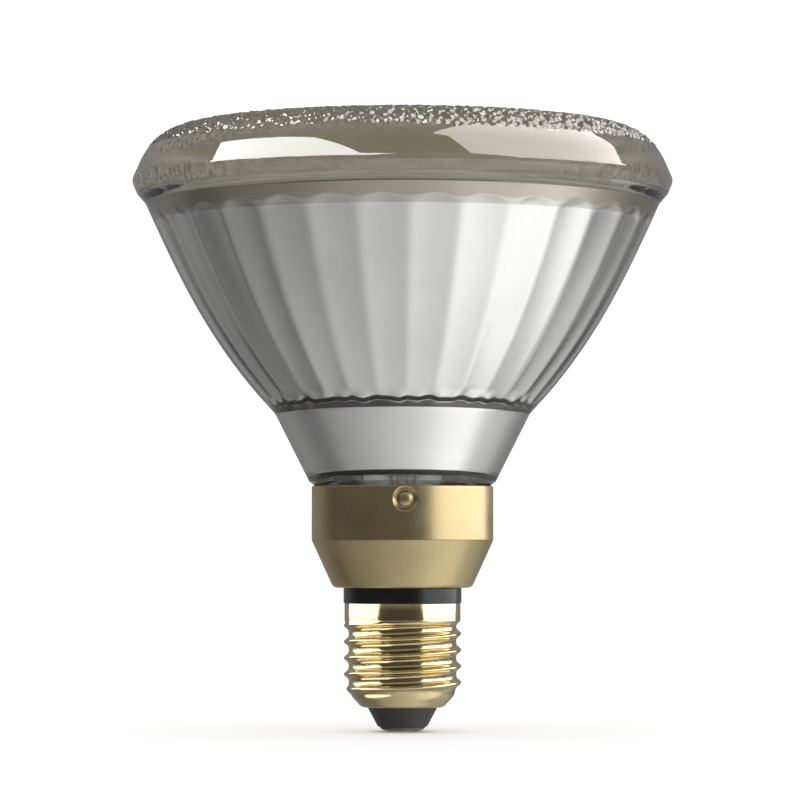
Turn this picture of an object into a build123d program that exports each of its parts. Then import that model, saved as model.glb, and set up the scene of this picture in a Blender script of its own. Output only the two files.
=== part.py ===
"""An infrared heat lamp: a pressed glass reflector closed by a domed glass lens, on a skirted
screw cap. The lamp stands cap down on +Z, its origin at the lowest point of the cap's solder.
Lengths are in millimetres. The front is -Y.

A fluted bowl with a mirror inside narrows to a plain neck, and the neck's collar is held in a
metal skirt by three crimps. The filament lies at the mirror's focus between two posts, which
stand in metal cups sealed into the back wall. Two wires run from the cups through the cap.
"""
from math import cos, radians, sin, sqrt, tan
import os

from build123d import *

# Heights, one above the other from the tip of the solder
contact_height = 1.1
nose_height = 4.3
shell_length = 23.3
ring_height = 3.4
skirt_cone_height = 10.6
skirt_barrel_height = 12.1
neck_height = 16.1
bowl_height = 47.1
flange_height = 2.2
lens_height = 17.1

# Reflector
flange_flare = 1.9
ledge_radius = 28.5
neck_foot_radius = 20.9
neck_foot_height = 1.0
glass_wall = 3.2
back_wall = 3.0
flute_count = 30
flute_turn = 7.5
flute_margin = 2.4
flute_stations = 6
well_round = 2.5
collar_wall = 2.6
collar_depth = 9.5
boss_wall = 1.7
boss_height = 1.6

# Lens
lamp_diameter = 121.0
seam_inset = 1.0
seam_wall = 4.8
widest_height = 2.4
lean_height = 4.1
lean_inset = 0.35
lens_lean = 24.6
lens_dome = 3.2
lens_face = 4.4
shoulder_round = 13.0
inner_shoulder_round = 8.0
stipple_inset = 6.1
pebble_spacing = 7.2
pebble_width = 7.0
pebble_crest_width = 2.4
pebble_height = 0.9
pebble_root = 0.6
pebble_sides = 6
pebble_turn = 17.0

# Skirt and its crimps
skirt_radius = 20.35
skirt_foot_radius = 15.5
skirt_foot_round = 1.4
skirt_lip_radius = 11.8
skirt_sheet = 0.5
collar_clearance = 0.25
crimp_count = 3
crimp_turn = 1.6
crimp_drop = 3.0
crimp_width = 5.6
crimp_depth = 0.8
button_radius = 1.5
button_height = 0.55

# Insulating ring
ring_radius = 13.2
ring_flange_height = 2.2
ring_flange_bevel = 0.6
ring_bore = 6.2
lip_clearance = 0.05
spigot_depth = 3.3
spigot_clearance = 0.05

# Screw shell, with a standard 27 mm cap thread
thread_diameter = 26.3
thread_pitch = 3.629
thread_round = 1.025
thread_turns = 4
shell_sheet = 0.35
band_inset = 0.17
band_height = 3.6
shell_knee_height = 4.6
shell_mouth_radius = 7.8
foot_bulge_inset = 1.35
foot_bulge_height = 1.6

# Contact insulator, contact and solder
nose_tip_radius = 5.5
contact_inset = 0.3
contact_flat_radius = 3.9
contact_bulge = 0.2
solder_proud = 0.25
solder_radius = 2.3
solder_flat_radius = 1.4
eyelet_wall = 0.35
eyelet_depth = 3.0
wire_clearance = 0.1

# Filament and its mount
post_spacing = 17.0
post_radius = 0.75
ferrule_radius = 2.6
ferrule_wall = 0.4
ferrule_length = 6.0
braze_depth = 1.2
filament_drop = 2.1
filament_wire_radius = 0.2
coil_radius = 0.9
coil_pitch = 0.9
coil_turns = 12
clamp_wall = 0.4
clamp_length = 2.4
bead_radius = 1.6
bead_height = 5.5
bead_end = 1.8
bead_round = 1.0
hook_spacing = 4.0
hook_wire_radius = 0.25
hook_clearance = 0.05
hook_set = 1.2
exhaust_radius = 2.4
exhaust_bore = 1.1
exhaust_length = 8.0

# Wires in the cap
wire_radius = 0.4
wire_bend = 1.6
wire_drop = 8.0
wire_gather_height = 3.0
shell_wire_offset = 3.9
fuse_radius = 1.5
fuse_length = 9.0
fuse_height = 6.0
fuse_round = 0.8
spot_radius = 1.5
spot_proud = 0.2

# Levels worked out from the heights
nose_level = contact_height
shell_foot_level = nose_level + nose_height
shell_top_level = shell_foot_level + shell_length
skirt_foot_level = shell_top_level + ring_height
skirt_break_level = skirt_foot_level + skirt_cone_height
skirt_top_level = skirt_break_level + skirt_barrel_height
ledge_level = skirt_top_level + neck_height
bowl_top_level = ledge_level + bowl_height
seam_level = bowl_top_level + flange_height
lens_top_level = seam_level + lens_height
floor_level = skirt_top_level + back_wall
band_foot_level = shell_top_level - band_height
knee_level = shell_foot_level + shell_knee_height
spot_level = shell_top_level - band_height / 2
flange_foot_level = skirt_foot_level + skirt_sheet
flange_top_level = flange_foot_level + ring_flange_height

# Radii and depths worked out from the sizes
rim_radius = lamp_diameter / 2
stipple_radius = rim_radius - stipple_inset
pebble_rings = int((stipple_radius - pebble_width / 2) / pebble_spacing)
seam_radius = rim_radius - seam_inset
seat_radius = seam_radius - seam_wall
bowl_top_radius = seam_radius - flange_flare
skirt_inner_radius = skirt_radius - skirt_sheet
collar_radius = skirt_inner_radius - collar_clearance
collar_bore = collar_radius - collar_wall
thread_radius = thread_diameter / 2
thread_depth = 2 * thread_round - sqrt((2 * thread_round) ** 2 - (thread_pitch / 2) ** 2)
root_radius = thread_radius - thread_depth
band_radius = thread_radius - band_inset
spigot_radius = band_radius - shell_sheet - spigot_clearance
wire_hole_radius = wire_radius + wire_clearance
contact_radius = nose_tip_radius - contact_inset
eyelet_radius = wire_hole_radius + eyelet_wall
ferrule_places = [(-post_spacing / 2, 0), (post_spacing / 2, 0)]


def bowl_curve(foot, top):
    """The bowl's meridian from foot to top, a cubic that opens fastest at its foot."""
    first_pull, second_pull = 0.513, 0.754
    width = top[0] - foot[0]
    height = top[1] - foot[1]
    first = (foot[0] + first_pull * width, foot[1] + height / 3)
    second = (foot[0] + second_pull * width, foot[1] + 2 * height / 3)
    return Bezier(foot, first, second, top, mode=Mode.PRIVATE)


def inward(curve, share):
    """The point one glass wall inside a meridian, at a share of its length."""
    outer = curve @ share
    along = curve % share
    return (outer.X - glass_wall * along.Y, outer.Y + glass_wall * along.X)


outer_bowl = bowl_curve((ledge_radius, ledge_level), (bowl_top_radius, bowl_top_level))
mirror_foot = inward(outer_bowl, 0)
mirror_top = inward(outer_bowl, 1)
mirror = bowl_curve(mirror_foot, mirror_top)
filament_level = mirror_foot[1] - filament_drop


def crimp_plane(number, height):
    """A plane that faces outward at one crimp, this far above the skirt's outside."""
    angle = radians(-90 + crimp_turn + number * 360 / crimp_count)
    outward = Vector(cos(angle), sin(angle), 0)
    centre = outward * (skirt_radius + height) + Vector(0, 0, skirt_top_level - crimp_drop)
    return Plane(origin=centre, x_dir=(0, 0, 1), z_dir=outward)


crimp_ball_radius = (crimp_width**2 / 4 + crimp_depth**2) / (2 * crimp_depth)
crimp_balls = [crimp_plane(number, crimp_ball_radius - crimp_depth) for number in range(crimp_count)]

# The reflector: bowl, neck and collar in one, with a flat back wall
flute_foot_share = flute_margin / bowl_height
flute_step = (1 - 2 * flute_foot_share) / (flute_stations - 1)
flute_shares = [flute_foot_share + flute_step * station for station in range(flute_stations)]
flute_foot = mirror @ flute_shares[0]
flute_top = mirror @ flute_shares[-1]
well_foot = (neck_foot_radius - glass_wall, floor_level)
with BuildPart() as reflector:
    with BuildSketch(Plane.XZ):
        with BuildLine():
            Polyline(
                (0, skirt_top_level),
                (collar_bore, skirt_top_level),
                (collar_bore, skirt_top_level - collar_depth),
                (collar_radius, skirt_top_level - collar_depth),
                (collar_radius, skirt_top_level),
                (neck_foot_radius, skirt_top_level + neck_foot_height),
                (ledge_radius, ledge_level),
            )
            add(outer_bowl)
            Polyline(
                (bowl_top_radius, bowl_top_level),
                (seam_radius, seam_level),
                (0, seam_level),
                (0, skirt_top_level),
            )
        make_face()
    revolve(axis=Axis.Z)
    # the plain well below the flutes
    with BuildSketch(Plane.XZ) as well:
        with BuildLine():
            Polyline((0, flute_foot.Y), (0, floor_level), well_foot, mirror_foot)
            add(mirror.trim(0, flute_shares[0]))
            Line(flute_foot, (0, flute_foot.Y))
        make_face()
        fillet(well.vertices().sort_by_distance(well_foot)[0], well_round)
    revolve(axis=Axis.Z, mode=Mode.SUBTRACT)
    # the flutes, flat across and curved along
    for share in flute_shares:
        station = mirror @ share
        with BuildSketch(Plane.XY.offset(station.Y)):
            RegularPolygon(station.X, flute_count, rotation=flute_turn)
    loft(mode=Mode.SUBTRACT)
    # the plain ring above the flutes
    with BuildSketch(Plane.XZ):
        with BuildLine():
            Line((0, flute_top.Y), flute_top)
            add(mirror.trim(flute_shares[-1], 1))
            Polyline(mirror_top, (seat_radius, seam_level), (0, seam_level), (0, flute_top.Y))
        make_face()
    revolve(axis=Axis.Z, mode=Mode.SUBTRACT)
    # bosses under the back wall, and the holes for the ferrules and the exhaust tube
    with BuildSketch(Plane.XY.offset(skirt_top_level - boss_height)):
        with Locations(ferrule_places):
            Circle(ferrule_radius + boss_wall)
    extrude(amount=boss_height)
    with BuildSketch(Plane.XY.offset(floor_level)):
        with Locations(ferrule_places):
            Circle(ferrule_radius)
        Circle(exhaust_radius)
    extrude(amount=-(back_wall + boss_height), mode=Mode.SUBTRACT)
    # the recesses that the crimps press into
    with Locations(crimp_balls):
        Sphere(crimp_ball_radius + skirt_sheet + collar_clearance, mode=Mode.SUBTRACT)


def pebble_plane(face_line, distance, turn):
    """A plane on the stippled face, this far from its middle and turned round the axis."""
    from_shoulder = face_line.length - distance
    place = face_line.position_at(from_shoulder, PositionMode.LENGTH)
    inward_line = face_line.tangent_at(from_shoulder, PositionMode.LENGTH)
    outward = Vector(cos(turn), sin(turn), 0)
    up = Vector(0, 0, 1)
    centre = outward * place.X + up * (place.Y - pebble_height)
    return Plane(origin=centre, z_dir=outward * inward_line.Y - up * inward_line.X)


# The lens: a leaning wall, a round shoulder and a shallow dome, hollow below
lean_foot = (rim_radius - lean_inset, seam_level + lean_height)
dome_foot_level = lens_top_level - lens_dome
dome_foot_radius = lean_foot[0] - tan(radians(lens_lean)) * (dome_foot_level - lean_foot[1])
inner_foot_radius = dome_foot_radius - seam_wall
inner_foot_level = dome_foot_level - lens_face
with BuildPart() as lens:
    with BuildSketch(Plane.XZ) as outside:
        with BuildLine():
            ThreePointArc(
                (seam_radius, seam_level),
                (rim_radius, seam_level + widest_height),
                lean_foot,
            )
            Line(lean_foot, (dome_foot_radius, dome_foot_level))
            ThreePointArc(
                (dome_foot_radius, dome_foot_level),
                (0, lens_top_level),
                (-dome_foot_radius, dome_foot_level),
            )
            Polyline(
                (-dome_foot_radius, dome_foot_level),
                (-seam_radius, seam_level),
                (seam_radius, seam_level),
            )
        make_face()
        shoulder = outside.vertices().sort_by_distance((dome_foot_radius, dome_foot_level))[0]
        fillet(shoulder, shoulder_round)
        split(bisect_by=Plane.YZ)
    revolve(axis=Axis.Z)
    # the shallow recess that the stipple stands in
    with BuildSketch(Plane.XZ):
        add(outside.sketch_local)
        with Locations((0, -pebble_height)):
            add(outside.sketch_local, mode=Mode.SUBTRACT)
        with Locations((0, lens_top_level)):
            Rectangle(2 * stipple_radius, 2 * shoulder_round, mode=Mode.INTERSECT)
    revolve(axis=Axis.Z, mode=Mode.SUBTRACT)
    with BuildSketch(Plane.XZ) as inside:
        with BuildLine():
            Line((seat_radius, seam_level), (inner_foot_radius, inner_foot_level))
            ThreePointArc(
                (inner_foot_radius, inner_foot_level),
                (0, lens_top_level - lens_face),
                (-inner_foot_radius, inner_foot_level),
            )
            Polyline(
                (-inner_foot_radius, inner_foot_level),
                (-seat_radius, seam_level),
                (seat_radius, seam_level),
            )
        make_face()
        shoulder = inside.vertices().sort_by_distance((inner_foot_radius, inner_foot_level))[0]
        fillet(shoulder, inner_shoulder_round)
        split(bisect_by=Plane.YZ)
    revolve(axis=Axis.Z, mode=Mode.SUBTRACT)
    # the stipple's main pebbles, faceted, in rings out from the middle
    face_line = Wire(outside.sketch_local.edges().filter_by(GeomType.CIRCLE).sort_by(Axis.Y)[-2:])
    pebble_planes = [Plane.XY.offset(lens_top_level - pebble_height)]
    for ring in range(1, pebble_rings + 1):
        for number in range(pebble_sides * ring):
            turn = radians(number * 360 / (pebble_sides * ring) + ring * pebble_turn)
            pebble_planes.append(pebble_plane(face_line, ring * pebble_spacing, turn))
    with BuildPart(mode=Mode.PRIVATE) as pebble:
        with BuildSketch(Plane.XY.offset(-pebble_root)):
            RegularPolygon(pebble_width / 2, pebble_sides)
        with BuildSketch(Plane.XY.offset(pebble_height)):
            RegularPolygon(pebble_crest_width / 2, pebble_sides)
        loft(ruled=True)
    with Locations(*pebble_planes):
        add(pebble.part)

# The skirt: a sheet metal barrel and cone, with a lip turned in at its foot and three crimps
lip_turn_radius = skirt_foot_radius - skirt_foot_round
lip_rise_level = skirt_foot_level + skirt_foot_round
with BuildPart() as cap_skirt:
    with BuildSketch(Plane.XZ):
        with BuildLine():
            Polyline(
                (skirt_radius, skirt_top_level),
                (skirt_radius, skirt_break_level),
                (skirt_foot_radius, lip_rise_level),
            )
            RadiusArc(
                (skirt_foot_radius, lip_rise_level),
                (lip_turn_radius, skirt_foot_level),
                skirt_foot_round,
            )
            Polyline(
                (lip_turn_radius, skirt_foot_level),
                (skirt_lip_radius, skirt_foot_level),
                (skirt_lip_radius, flange_foot_level),
                (lip_turn_radius, flange_foot_level),
            )
            RadiusArc(
                (lip_turn_radius, flange_foot_level),
                (skirt_foot_radius - skirt_sheet, lip_rise_level),
                -(skirt_foot_round - skirt_sheet),
            )
            Polyline(
                (skirt_foot_radius - skirt_sheet, lip_rise_level),
                (skirt_inner_radius, skirt_break_level),
                (skirt_inner_radius, skirt_top_level),
                (skirt_radius, skirt_top_level),
            )
        make_face()
    revolve(axis=Axis.Z)
    with BuildPart(mode=Mode.PRIVATE) as dents:
        with Locations(crimp_balls):
            Sphere(crimp_ball_radius + skirt_sheet)
        with BuildSketch(Plane.XY.offset(skirt_break_level)):
            Circle(skirt_radius)
        extrude(amount=skirt_barrel_height, mode=Mode.INTERSECT)
    add(dents.part)
    with Locations(crimp_balls):
        Sphere(crimp_ball_radius, mode=Mode.SUBTRACT)
    for number in range(crimp_count):
        with BuildSketch(crimp_plane(number, -crimp_depth - skirt_sheet / 2)):
            Circle(button_radius)
        extrude(amount=button_height + skirt_sheet / 2)

# The insulating ring: a flange above the skirt's lip, a bare band, and a spigot in the shell
spigot_foot_level = shell_top_level - spigot_depth
with BuildPart() as insulating_ring:
    with BuildSketch(Plane.XZ):
        with BuildLine():
            Polyline(
                (ring_bore, spigot_foot_level),
                (spigot_radius, spigot_foot_level),
                (spigot_radius, shell_top_level),
                (ring_radius, shell_top_level),
                (ring_radius, skirt_foot_level),
                (skirt_lip_radius - lip_clearance, skirt_foot_level),
                (skirt_lip_radius - lip_clearance, flange_foot_level),
                (lip_turn_radius, flange_foot_level),
                (lip_turn_radius, flange_top_level - ring_flange_bevel),
                (lip_turn_radius - ring_flange_bevel, flange_top_level),
                (ring_bore, flange_top_level),
                close=True,
            )
        make_face()
    revolve(axis=Axis.Z)
    with BuildSketch(Plane.XZ):
        with Locations((0, spot_level)):
            Circle(wire_hole_radius)
    extrude(amount=-thread_diameter, mode=Mode.SUBTRACT)


def foot_curve(radius, mouth_level):
    """The round foot of the shell, from its mouth up to the knee."""
    bulge = (radius - foot_bulge_inset, mouth_level + foot_bulge_height)
    ThreePointArc((shell_mouth_radius, mouth_level), bulge, (radius, knee_level))


def rolled_thread(inset):
    """Arcs up the thread's turns, one inset inside the outer face: hollow, crest, hollow."""
    root = root_radius - inset
    crest = thread_radius - inset
    flank = (root + crest) / 2
    quarter = thread_pitch / 4
    for turn in range(thread_turns):
        foot = knee_level + turn * thread_pitch
        RadiusArc((root, foot), (flank, foot + quarter), -thread_round)
        ThreePointArc((flank, foot + quarter), (crest, foot + 2 * quarter), (flank, foot + 3 * quarter))
        RadiusArc((flank, foot + 3 * quarter), (root, foot + 4 * quarter), -thread_round)


def shell_outline(inset):
    """The shell's half outline, one inset inside its outer face: mouth, foot, thread and band."""
    foot_curve(root_radius - inset, shell_foot_level + inset)
    rolled_thread(inset)
    Polyline(
        (root_radius - inset, knee_level + thread_turns * thread_pitch),
        (band_radius - inset, band_foot_level),
        (band_radius - inset, shell_top_level),
        (0, shell_top_level),
        (0, shell_foot_level),
        (shell_mouth_radius, shell_foot_level),
    )
    if inset:
        Line((shell_mouth_radius, shell_foot_level), (shell_mouth_radius, shell_foot_level + inset))


# The screw shell: thin sheet with a rolled thread, a plain band and a turned-in foot
with BuildPart() as screw_shell:
    with BuildSketch(Plane.XZ):
        with BuildLine():
            shell_outline(0)
        make_face()
    revolve(axis=Axis.Z)
    with BuildSketch(Plane.XZ):
        with BuildLine():
            shell_outline(shell_sheet)
        make_face()
    revolve(axis=Axis.Z, mode=Mode.SUBTRACT)
    with BuildSketch(Plane.XZ):
        with Locations((0, spot_level)):
            Circle(wire_hole_radius)
    extrude(amount=-thread_diameter, mode=Mode.SUBTRACT)

# The contact insulator: a cone below the shell's mouth that fills the shell's round foot
with BuildPart() as contact_insulator:
    with BuildSketch(Plane.XZ):
        with BuildLine():
            foot_curve(root_radius - shell_sheet, shell_foot_level + shell_sheet)
            Polyline(
                (root_radius - shell_sheet, knee_level),
                (eyelet_radius, knee_level),
                (eyelet_radius, nose_level),
                (nose_tip_radius, nose_level),
                (shell_mouth_radius, shell_foot_level),
                (shell_mouth_radius, shell_foot_level + shell_sheet),
            )
        make_face()
    revolve(axis=Axis.Z)

# The centre contact: a round disc with a domed edge, and an eyelet up into the insulator
with BuildPart() as centre_contact:
    with BuildSketch(Plane.XZ):
        with BuildLine():
            SagittaArc((contact_flat_radius, solder_proud), (contact_radius, nose_level), -contact_bulge)
            Polyline(
                (contact_radius, nose_level),
                (eyelet_radius, nose_level),
                (eyelet_radius, nose_level + eyelet_depth),
                (wire_hole_radius, nose_level + eyelet_depth),
                (wire_hole_radius, solder_proud),
                (contact_flat_radius, solder_proud),
            )
        make_face()
    revolve(axis=Axis.Z)

# The solder on the contact, a drop with its tip pressed flat
with BuildPart() as contact_solder:
    with BuildSketch(Plane.XZ):
        with BuildLine():
            Polyline((solder_flat_radius, 0), (0, 0), (0, solder_proud), (solder_radius, solder_proud))
            TangentArc((solder_flat_radius, 0), (solder_radius, solder_proud), tangent=(1, 0))
        make_face()
    revolve(axis=Axis.Z)

# The solder spot on the shell's band, at the back
with BuildPart() as shell_solder:
    with BuildSketch(Plane.XZ):
        with Locations((0, spot_level)):
            Circle(spot_radius)
    extrude(amount=-thread_diameter)
    with BuildSketch(Plane.XY.offset(spot_level)):
        Circle(band_radius + spot_proud)
        Circle(band_radius, mode=Mode.SUBTRACT)
    extrude(amount=band_height, both=True, mode=Mode.INTERSECT)

# The ferrules: cups sealed into the back wall, with braze round the foot of each post
ferrule_foot_level = floor_level - ferrule_length
with BuildPart() as ferrule_right:
    with BuildSketch(Plane.XY.offset(ferrule_foot_level)):
        with Locations(ferrule_places[1]):
            Circle(ferrule_radius)
    extrude(amount=ferrule_length)
    with BuildSketch(Plane.XY.offset(ferrule_foot_level + braze_depth)):
        with Locations(ferrule_places[1]):
            Circle(ferrule_radius - ferrule_wall)
    extrude(amount=ferrule_length - braze_depth, mode=Mode.SUBTRACT)
    with BuildSketch(Plane.XY.offset(ferrule_foot_level + ferrule_wall)):
        with Locations(ferrule_places[1]):
            Circle(post_radius)
    extrude(amount=braze_depth - ferrule_wall, mode=Mode.SUBTRACT)

# The lead posts: each rises from its ferrule to a tube that is crimped on the filament's leg
leg_level = filament_level + coil_radius
leg_plane = Plane.YZ.offset(post_spacing / 2 - clamp_length / 2)
with BuildPart() as lead_post_right:
    with BuildSketch(Plane.XY.offset(ferrule_foot_level + ferrule_wall)):
        with Locations(ferrule_places[1]):
            Circle(post_radius)
    extrude(amount=leg_level - ferrule_foot_level - ferrule_wall)
    with BuildSketch(leg_plane):
        with Locations((0, leg_level)):
            Circle(filament_wire_radius + clamp_wall)
    extrude(amount=clamp_length)
    with BuildSketch(leg_plane):
        with Locations((0, leg_level)):
            Circle(filament_wire_radius)
    extrude(amount=clamp_length, mode=Mode.SUBTRACT)

with BuildPart() as ferrule_left:
    add(ferrule_right.part.mirror(Plane.YZ))
with BuildPart() as lead_post_left:
    add(lead_post_right.part.mirror(Plane.YZ))

# The filament: a level coil with a straight leg at each end
coil_length = coil_turns * coil_pitch
coil_start = (-coil_length / 2, 0, filament_level)
leg_length = (post_spacing + clamp_length - coil_length) / 2
with BuildPart() as filament:
    with BuildLine() as coil:
        Helix(coil_pitch, coil_length, coil_radius, center=coil_start, direction=(1, 0, 0))
    with BuildSketch(Plane(origin=coil.line @ 0, z_dir=coil.line % 0)):
        Circle(filament_wire_radius)
    sweep(path=coil.line, is_frenet=True)
    with Locations((-coil_length / 2, 0, leg_level), (coil_length / 2, 0, leg_level)):
        Sphere(filament_wire_radius)
    with BuildSketch(Plane.YZ.offset(coil_length / 2), Plane.YZ.offset(-coil_length / 2 - leg_length)):
        with Locations((0, leg_level)):
            Circle(filament_wire_radius)
    extrude(amount=leg_length)

# The support bead: a glass bar across both posts
bead_level = floor_level + bead_height
hook_foot_level = bead_level + bead_radius - hook_set
hook_places = [(-hook_spacing, 0), (0, 0), (hook_spacing, 0)]
with BuildPart() as support_bead:
    with BuildSketch(Plane.YZ.offset(-post_spacing / 2 - bead_end)):
        with Locations((0, bead_level)):
            Circle(bead_radius)
    extrude(amount=post_spacing + 2 * bead_end)
    fillet(support_bead.edges().filter_by(GeomType.CIRCLE), bead_round)
    with BuildSketch(Plane.XY.offset(bead_level)):
        with Locations(ferrule_places):
            Circle(post_radius)
    extrude(amount=bead_radius, both=True, mode=Mode.SUBTRACT)
    with BuildSketch(Plane.XY.offset(hook_foot_level)):
        with Locations(hook_places):
            Circle(hook_wire_radius)
    extrude(amount=hook_set, mode=Mode.SUBTRACT)


def make_hook(place):
    """A fine wire set in the bead, with a loop round the coil."""
    loop_radius = coil_radius + filament_wire_radius + hook_clearance + hook_wire_radius
    with BuildPart() as hook:
        with BuildSketch(Plane.XY.offset(hook_foot_level)):
            with Locations(place):
                Circle(hook_wire_radius)
        extrude(amount=filament_level - loop_radius - hook_foot_level)
        with Locations((place[0], place[1], filament_level)):
            Torus(loop_radius, hook_wire_radius, rotation=(0, 90, 0))
    return hook


hook_left = make_hook(hook_places[0])
hook_middle = make_hook(hook_places[1])
hook_right = make_hook(hook_places[2])

# The exhaust tube: an open glass stub in the back wall, melted shut at its tip
exhaust_foot_level = floor_level - exhaust_length
with BuildPart() as exhaust_tube:
    with BuildSketch(Plane.XZ):
        with BuildLine():
            Line((exhaust_radius, floor_level), (exhaust_radius, exhaust_foot_level))
            CenterArc((0, exhaust_foot_level), exhaust_radius, 270, 90)
            Line((0, exhaust_foot_level - exhaust_radius), (0, exhaust_foot_level - exhaust_bore))
            CenterArc((0, exhaust_foot_level), exhaust_bore, 270, 90)
            Polyline(
                (exhaust_bore, exhaust_foot_level),
                (exhaust_bore, floor_level),
                (exhaust_radius, floor_level),
            )
        make_face()
    revolve(axis=Axis.Z)


def make_wire(points):
    """A round wire along straight runs with bends of one radius."""
    with BuildPart() as wire:
        with BuildLine() as course:
            FilletPolyline(*points, radius=wire_bend)
        with BuildSketch(Plane(origin=course.line @ 0, z_dir=course.line % 0)):
            Circle(wire_radius)
        sweep(path=course.line)
    return wire


# The wires from the ferrules: one to the contact's solder, one to the solder on the shell
wire_foot_level = ferrule_foot_level - wire_drop
gather_level = flange_top_level + wire_gather_height
contact_wire = make_wire([
    (post_spacing / 2, 0, ferrule_foot_level),
    (post_spacing / 2, 0, wire_foot_level),
    (0, 0, gather_level),
    (0, 0, solder_proud),
])
shell_wire = make_wire([
    (-post_spacing / 2, 0, ferrule_foot_level),
    (-post_spacing / 2, 0, wire_foot_level),
    (0, shell_wire_offset, gather_level),
    (0, shell_wire_offset, spot_level),
    (0, band_radius - shell_sheet, spot_level),
])

# The fuse: a glass tube round a weak length of the contact wire
with BuildPart() as fuse:
    with BuildSketch(Plane.XY.offset(knee_level + fuse_height)):
        Circle(fuse_radius)
    extrude(amount=fuse_length)
    fillet(fuse.edges().filter_by(GeomType.CIRCLE), fuse_round)
    with BuildSketch(Plane.XY.offset(knee_level + fuse_height)):
        Circle(wire_radius)
    extrude(amount=fuse_length, mode=Mode.SUBTRACT)

os.makedirs("parts", exist_ok=True)
pieces = {
    "reflector": reflector,
    "lens": lens,
    "cap_skirt": cap_skirt,
    "insulating_ring": insulating_ring,
    "screw_shell": screw_shell,
    "contact_insulator": contact_insulator,
    "centre_contact": centre_contact,
    "contact_solder": contact_solder,
    "shell_solder": shell_solder,
    "ferrule_left": ferrule_left,
    "ferrule_right": ferrule_right,
    "lead_post_left": lead_post_left,
    "lead_post_right": lead_post_right,
    "filament": filament,
    "support_bead": support_bead,
    "hook_left": hook_left,
    "hook_middle": hook_middle,
    "hook_right": hook_right,
    "exhaust_tube": exhaust_tube,
    "contact_wire": contact_wire,
    "shell_wire": shell_wire,
    "fuse": fuse,
}
for label, piece in pieces.items():
    piece.part.label = label
    export_step(piece.part, f"parts/{label}.step")
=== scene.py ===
"""The looks of an infrared heat lamp: clear pressed glass over a fluted mirror, a stippled lens,
a satin brass skirt with crimps, and a polished brass screw shell.

Profiles are in millimetres, as (radius, height) with the lamp's axis at radius 0 and the tip of
the cap at height 0. Meshes are made in metres. Angles run from +X, and the front is -Y.
"""
import math

import bmesh
import bpy
import numpy as np
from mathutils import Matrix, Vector


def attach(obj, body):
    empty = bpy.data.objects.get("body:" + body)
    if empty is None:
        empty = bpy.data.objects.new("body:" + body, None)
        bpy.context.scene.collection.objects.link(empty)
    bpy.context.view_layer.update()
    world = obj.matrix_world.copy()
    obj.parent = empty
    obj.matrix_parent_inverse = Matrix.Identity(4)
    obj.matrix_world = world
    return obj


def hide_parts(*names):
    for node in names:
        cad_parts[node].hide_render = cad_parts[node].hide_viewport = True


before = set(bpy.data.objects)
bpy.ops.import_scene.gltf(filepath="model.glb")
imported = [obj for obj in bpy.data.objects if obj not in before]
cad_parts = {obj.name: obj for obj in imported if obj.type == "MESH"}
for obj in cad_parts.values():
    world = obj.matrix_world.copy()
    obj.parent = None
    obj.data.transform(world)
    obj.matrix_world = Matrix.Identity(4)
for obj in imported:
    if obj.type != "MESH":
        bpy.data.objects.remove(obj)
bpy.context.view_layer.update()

MM = 0.001
# Points closer than this, in metres, are one
WELD = 1e-7

# Levels and radii that the pieces share with the frame
NOSE = 1.1
SHELL_FOOT = 5.4
KNEE = 10.0
BAND_FOOT = 25.1
SHELL_TOP = 28.7
SKIRT_FOOT = 32.1
SKIRT_BREAK = 42.7
SKIRT_TOP = 54.8
FLOOR = 57.8
LEDGE = 70.9
BOWL_TOP = 118.0
SEAM = 120.2
LENS_TOP = 137.3
SEAM_RADIUS = 59.5
SEAT_RADIUS = 54.7
BOWL_TOP_RADIUS = 57.6
LEDGE_RADIUS = 28.5
NECK_RADIUS = 20.9
COLLAR_RADIUS = 19.6
SKIRT_RADIUS = 20.35
GLASS_WALL = 3.2
POST_X = 8.5

# Where a corner's row of points lies before and after its arc, as a length and a share of the arc's reach
LEAD, LEAD_SHARE = 0.12, 0.3
# The most of a side that one corner's arc may take
SIDE_SHARE = 0.48


# Outlines

def rounded(corners, steps=5):
    """An outline whose corners (r, z, radius) are turned into arcs, with a row close to each end."""
    points = []
    for index, (r, z, radius) in enumerate(corners):
        here = np.array((r, z), float)
        if radius <= 0 or index in (0, len(corners) - 1):
            points.append(here)
            continue
        back = np.array(corners[index - 1][:2], float) - here
        ahead = np.array(corners[index + 1][:2], float) - here
        back_length, ahead_length = np.linalg.norm(back), np.linalg.norm(ahead)
        back, ahead = back / back_length, ahead / ahead_length
        half = math.acos(max(-1.0, min(1.0, float(back @ ahead)))) / 2
        reach = min(radius / math.tan(half), SIDE_SHARE * back_length, SIDE_SHARE * ahead_length)
        radius = reach * math.tan(half)
        centre = here + (back + ahead) / np.linalg.norm(back + ahead) * radius / math.sin(half)
        start, end = here + back * reach, here + ahead * reach
        lead = min(LEAD, LEAD_SHARE * reach)
        sweep = math.pi - 2 * half
        points.append(start + back * lead)
        for step in range(steps + 1):
            share = step / steps
            ray = (start - centre) * math.sin((1 - share) * sweep)
            ray = ray + (end - centre) * math.sin(share * sweep)
            points.append(centre + ray / math.sin(sweep))
        points.append(end + ahead * lead)
    return np.array(points)


# How far out the two middle points of the bowl's cubic lie, as shares of its width
FIRST_PULL, SECOND_PULL = 0.513, 0.754


def bowl_curve(foot, top, share):
    """Points up the bowl's meridian, a cubic that opens fastest at its foot."""
    width, height = top[0] - foot[0], top[1] - foot[1]
    rise = 3 * (1 - share) ** 2 * share * FIRST_PULL
    rise = rise + 3 * (1 - share) * share**2 * SECOND_PULL + share**3
    return np.stack((foot[0] + width * rise, foot[1] + height * share), axis=1)


def smooth_step(low, high, value):
    """0 below low, 1 above high, and a smooth rise between."""
    share = np.clip((value - low) / (high - low), 0, 1)
    return share * share * (3 - 2 * share)


# Meshes

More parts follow.
